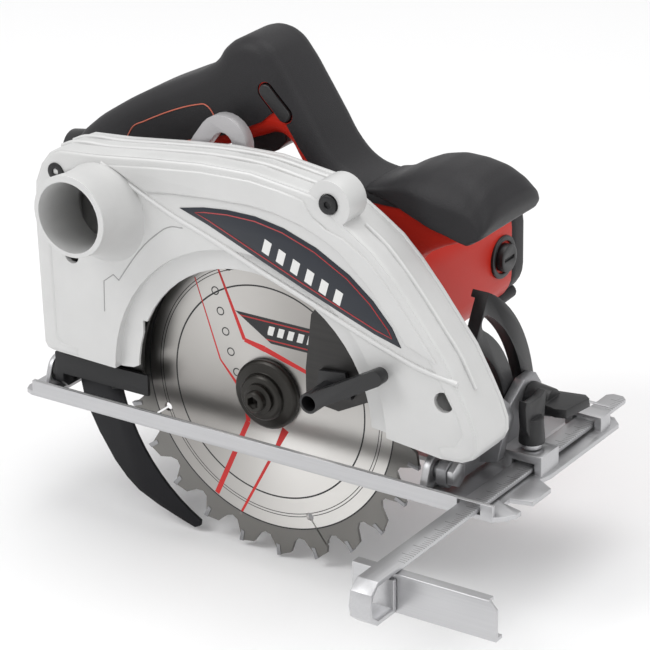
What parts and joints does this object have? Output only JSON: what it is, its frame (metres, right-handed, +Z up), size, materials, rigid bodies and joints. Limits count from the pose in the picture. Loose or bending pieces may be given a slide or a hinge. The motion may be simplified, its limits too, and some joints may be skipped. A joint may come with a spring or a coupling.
{
  "type": "circular saw",
  "caption": "Corded hand-held circular saw with a toothed blade in a cast guard, a pressed sole, bevel and depth clamps, a parallel fence, a loop handle and a trigger.",
  "frame": {"origin": "centre of the sole plate's width on its flat underside, under the arbor's X position", "axes": "+X the cutting direction, towards the front of the saw; +Y across the sole, from the blade side to the motor side; +Z up from the workpiece"},
  "size_m": [0.36, 0.308, 0.2749],
  "materials": {
    "sole_plate": "bright pressed steel sheet with a light brushed grain",
    "rear_ear": "bright zinc-plated sheet",
    "front_ear": "bright zinc-plated sheet",
    "bevel_quadrant": "black coated steel with engraved angle marks",
    "fence_bar": "bright flat bar",
    "fence_plate": "bright pressed sheet",
    "fence_screw_shank": "bright threaded rod",
    "fence_screw_wing": "moulded black plastic",
    "tilt_bracket": "black coated steel",
    "front_bevel_pin": "bright pin with a hexagon head",
    "depth_pin": "bright pin",
    "depth_arc": "satin metal plate with an arc slot",
    "rear_holder": "black coated steel",
    "rear_pivot_knob": "black round knob",
    "bevel_bolt": "bright bolt",
    "bevel_wing": "moulded black plastic",
    "depth_bolt": "bright bolt",
    "depth_lever": "moulded black plastic",
    "gear_housing": "cast alloy, fine grain",
    "guard_cover": "cast alloy, satin, fine blasted grain",
    "guard_back": "cast alloy, satin",
    "guard_screw_1": "blackened socket screw",
    "guard_screw_2": "blackened socket screw",
    "riving_knife": "dark steel plate",
    "knife_screw": "bright socket screw",
    "saw_blade": "ground steel with fine circular grain",
    "inner_flange": "turned steel",
    "outer_flange": "blackened steel",
    "blade_bolt": "blackened socket bolt",
    "arbor_shaft": "ground steel",
    "arbor_gear": "cut and oiled steel",
    "arbor_bearing_blade_side": "polished bearing steel",
    "arbor_bearing_gear_side": "polished bearing steel",
    "lower_guard": "cast alloy, dull",
    "guard_lever": "moulded black plastic",
    "guard_spring": "spring steel",
    "motor_housing": "red moulded plastic, satin gloss",
    "motor_end_cap": "charcoal soft-touch rubber",
    "stator": "stacked laminations",
    "armature": "laminated core with copper windings and commutator",
    "fan": "black plastic",
    "pinion": "cut steel",
    "motor_bearing_gear_side": "polished bearing steel",
    "motor_bearing_cap_side": "polished bearing steel",
    "brush_1": "carbon",
    "brush_cap_1": "black slotted cap",
    "brush_2": "carbon",
    "brush_cap_2": "black slotted cap",
    "handle_half_blade_side": "red moulded plastic, satin gloss",
    "handle_half_motor_side": "red moulded plastic, satin gloss",
    "handle_grip_pad": "charcoal soft-touch rubber",
    "front_grip_pad": "charcoal soft-touch rubber",
    "switch_body": "black plastic",
    "trigger": "black plastic",
    "lock_off_button": "black plastic",
    "spindle_lock": "black plastic",
    "cord_gland": "black rubber",
    "handle_screw_1": "bright screw",
    "handle_screw_2": "bright screw",
    "handle_screw_3": "bright screw"
  },
  "bodies": {
    "base": {"sole_plate": "sole_plate", "rear_ear": "rear_ear", "front_ear": "front_ear", "bevel_quadrant": "bevel_quadrant"},
    "fence": {"fence_bar": "fence_bar", "fence_plate": "fence_plate"},
    "fence_screw": {"fence_screw_shank": "fence_screw_shank", "fence_screw_wing": "fence_screw_wing"},
    "tilting_frame": {"tilt_bracket": "tilt_bracket", "front_bevel_pin": "front_bevel_pin", "depth_pin": "depth_pin", "depth_arc": "depth_arc", "rear_holder": "rear_holder", "rear_pivot_knob": "rear_pivot_knob"},
    "bevel_clamp": {"bevel_bolt": "bevel_bolt", "bevel_wing": "bevel_wing"},
    "saw_body": {"gear_housing": "gear_housing", "guard_cover": "guard_cover", "guard_back": "guard_back", "guard_screw_1": "guard_screw_1", "guard_screw_2": "guard_screw_2", "riving_knife": "riving_knife", "knife_screw": "knife_screw", "arbor_bearing_blade_side": "arbor_bearing_blade_side", "arbor_bearing_gear_side": "arbor_bearing_gear_side", "guard_spring": "guard_spring", "motor_housing": "motor_housing", "motor_end_cap": "motor_end_cap", "stator": "stator", "motor_bearing_gear_side": "motor_bearing_gear_side", "motor_bearing_cap_side": "motor_bearing_cap_side", "brush_1": "brush_1", "brush_cap_1": "brush_cap_1", "brush_2": "brush_2", "brush_cap_2": "brush_cap_2", "handle_half_blade_side": "handle_half_blade_side", "handle_half_motor_side": "handle_half_motor_side", "handle_grip_pad": "handle_grip_pad", "front_grip_pad": "front_grip_pad", "switch_body": "switch_body", "cord_gland": "cord_gland", "handle_screw_1": "handle_screw_1", "handle_screw_2": "handle_screw_2", "handle_screw_3": "handle_screw_3"},
    "depth_clamp": {"depth_bolt": "depth_bolt", "depth_lever": "depth_lever"},
    "spindle": {"arbor_shaft": "arbor_shaft", "arbor_gear": "arbor_gear", "inner_flange": "inner_flange", "saw_blade": "saw_blade", "outer_flange": "outer_flange", "blade_bolt": "blade_bolt"},
    "rotor": {"armature": "armature", "pinion": "pinion", "fan": "fan"},
    "moving_guard": {"lower_guard": "lower_guard", "guard_lever": "guard_lever"},
    "trigger_key": {"trigger": "trigger"},
    "lock_off_key": {"lock_off_button": "lock_off_button"},
    "spindle_lock_key": {"spindle_lock": "spindle_lock"}
  },
  "joints": [
    {"name": "fence_slide", "type": "slide", "parent": "base", "child": "fence", "axis": [0, 1, 0], "range_m": [-0.075, 0.066]},
    {"name": "fence_screw_turn", "type": "hinge", "parent": "base", "child": "fence_screw", "pos_m": [0.134, -0.0055, 0.029], "axis": [0, 0, 1], "range_deg": [-90, 90]},
    {"name": "bevel_tilt", "type": "hinge", "parent": "base", "child": "tilting_frame", "pos_m": [0, -0.0515, 0.012], "axis": [1, 0, 0], "range_deg": [0, 45]},
    {"name": "bevel_clamp_turn", "type": "hinge", "parent": "tilting_frame", "child": "bevel_clamp", "pos_m": [0.11, 0.02653, 0.02436], "axis": [1, 0, 0], "range_deg": [0, 60]},
    {"name": "depth_pivot", "type": "hinge", "parent": "tilting_frame", "child": "saw_body", "pos_m": [0.122, -0.0295, 0.035], "axis": [0, 1, 0], "range_deg": [0, 26]},
    {"name": "depth_lever_turn", "type": "hinge", "parent": "saw_body", "child": "depth_clamp", "pos_m": [-0.07663, -0.0295, 0.04715], "axis": [0, 1, 0], "range_deg": [0, 30]},
    {"name": "spindle_spin", "type": "hinge", "parent": "saw_body", "child": "spindle", "pos_m": [0, -0.0495, 0.029], "axis": [0, 1, 0], "continuous": true},
    {"name": "rotor_spin", "type": "hinge", "parent": "saw_body", "child": "rotor", "pos_m": [0.006, 0.0105, 0.0604], "axis": [0, 1, 0], "continuous": true},
    {"name": "guard_swing", "type": "hinge", "parent": "saw_body", "child": "moving_guard", "pos_m": [0, -0.0495, 0.029], "axis": [0, -1, 0], "range_deg": [0, 145]},
    {"name": "trigger_press", "type": "slide", "parent": "saw_body", "child": "trigger_key", "axis": [0, 0, 1], "range_m": [0, 0.0025], "stiffness_N_per_m": 900, "springref_m": -0.002},
    {"name": "lock_off_press", "type": "slide", "parent": "saw_body", "child": "lock_off_key", "axis": [0, 1, 0], "range_m": [0, 0.003], "stiffness_N_per_m": 600, "springref_m": -0.002},
    {"name": "spindle_lock_press", "type": "slide", "parent": "saw_body", "child": "spindle_lock_key", "axis": [-1, 0, 0], "range_m": [0, 0.004], "stiffness_N_per_m": 800, "springref_m": -0.002}
  ],
  "couplings": [
    {"joint": "rotor_spin", "follows": "spindle_spin", "ratio": -2.3333}
  ]
}
